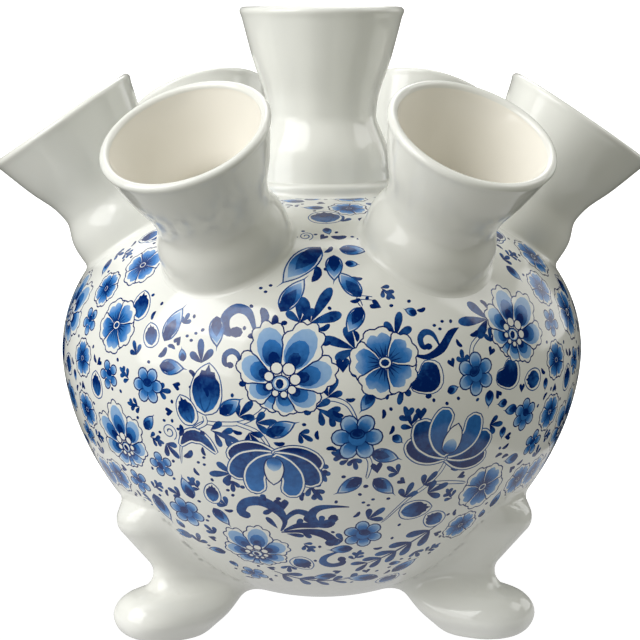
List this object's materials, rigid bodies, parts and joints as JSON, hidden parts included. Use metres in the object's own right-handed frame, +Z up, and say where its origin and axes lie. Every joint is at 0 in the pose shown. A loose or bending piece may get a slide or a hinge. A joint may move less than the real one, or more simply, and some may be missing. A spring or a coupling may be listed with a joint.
{
  "type": "tulip vase",
  "caption": "Ball-shaped vase on scroll feet, with trumpet spouts leaning out round an upright one, in white glaze with blue flowers.",
  "frame": {"origin": "on the vase's axis, at the height of the surface that the feet stand on", "axes": "+Z up along the upright spout, -Y to the front between two spouts, +X to the viewer's right"},
  "size_m": [0.199, 0.1798, 0.1878],
  "materials": {
    "patterned_glaze": "glossy off-white glaze with a painted cobalt-blue flower pattern",
    "white_glaze": "glossy off-white glaze"
  },
  "bodies": {
    "root": {"globe_bowl": "patterned_glaze", "globe_dome": "patterned_glaze", "centre_spout": "white_glaze", "spout_front_right": "white_glaze", "spout_right": "white_glaze", "spout_back_right": "white_glaze", "spout_back_left": "white_glaze", "spout_left": "white_glaze", "spout_front_left": "white_glaze", "foot_front_right": "white_glaze", "foot_back": "white_glaze", "foot_front_left": "white_glaze"}
  },
  "joints": []
}
